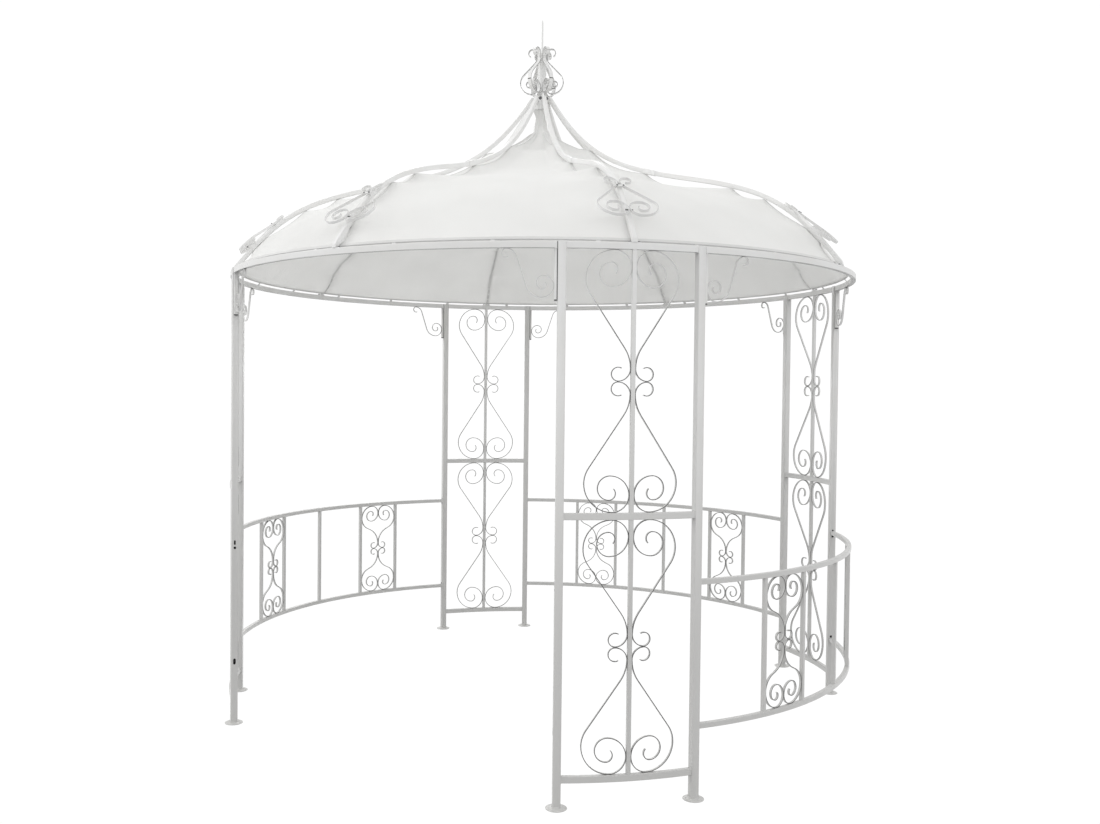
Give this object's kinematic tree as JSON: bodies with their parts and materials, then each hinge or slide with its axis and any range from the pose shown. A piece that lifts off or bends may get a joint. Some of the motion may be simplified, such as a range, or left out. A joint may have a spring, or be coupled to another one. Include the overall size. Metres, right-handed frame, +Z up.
{
  "type": "garden gazebo",
  "caption": "Round white steel garden gazebo with ladder panels of scrollwork, low curved railings, an open entrance, pagoda ribs, a cloth canopy and a scroll finial.",
  "frame": {"origin": "on the ground, on the axis of the circle of posts", "axes": "+Z up, the axis of the circle; -Y points out through the middle of the entrance"},
  "size_m": [2.97, 2.97, 3.328],
  "materials": {
    "white_steel": "satin white powder coat",
    "canopy_cloth": "matt white woven cloth"
  },
  "bodies": {
    "root": {"front_left_post": "white_steel", "front_right_post": "white_steel", "front_panel_rails": "white_steel", "front_panel_scrolls": "white_steel", "right_front_post": "white_steel", "right_back_post": "white_steel", "right_panel_rails": "white_steel", "right_panel_scrolls": "white_steel", "back_right_post": "white_steel", "back_left_post": "white_steel", "back_panel_rails": "white_steel", "back_panel_scrolls": "white_steel", "left_back_post": "white_steel", "left_front_post": "white_steel", "left_panel_rails": "white_steel", "left_panel_scrolls": "white_steel", "right_railing": "white_steel", "right_railing_scrolls": "white_steel", "back_railing": "white_steel", "back_railing_scrolls": "white_steel", "left_railing": "white_steel", "left_railing_scrolls": "white_steel", "entrance_beam": "white_steel", "entrance_brackets": "white_steel", "right_beam": "white_steel", "right_brackets": "white_steel", "back_beam": "white_steel", "back_brackets": "white_steel", "left_beam": "white_steel", "left_brackets": "white_steel", "rib_front": "white_steel", "rib_front_right": "white_steel", "rib_right": "white_steel", "rib_back_right": "white_steel", "rib_back": "white_steel", "rib_back_left": "white_steel", "rib_left": "white_steel", "rib_front_left": "white_steel", "rib_scrolls": "white_steel", "hub": "white_steel", "finial_scrolls": "white_steel", "finial_spike": "white_steel", "canopy": "canopy_cloth"}
  },
  "joints": []
}
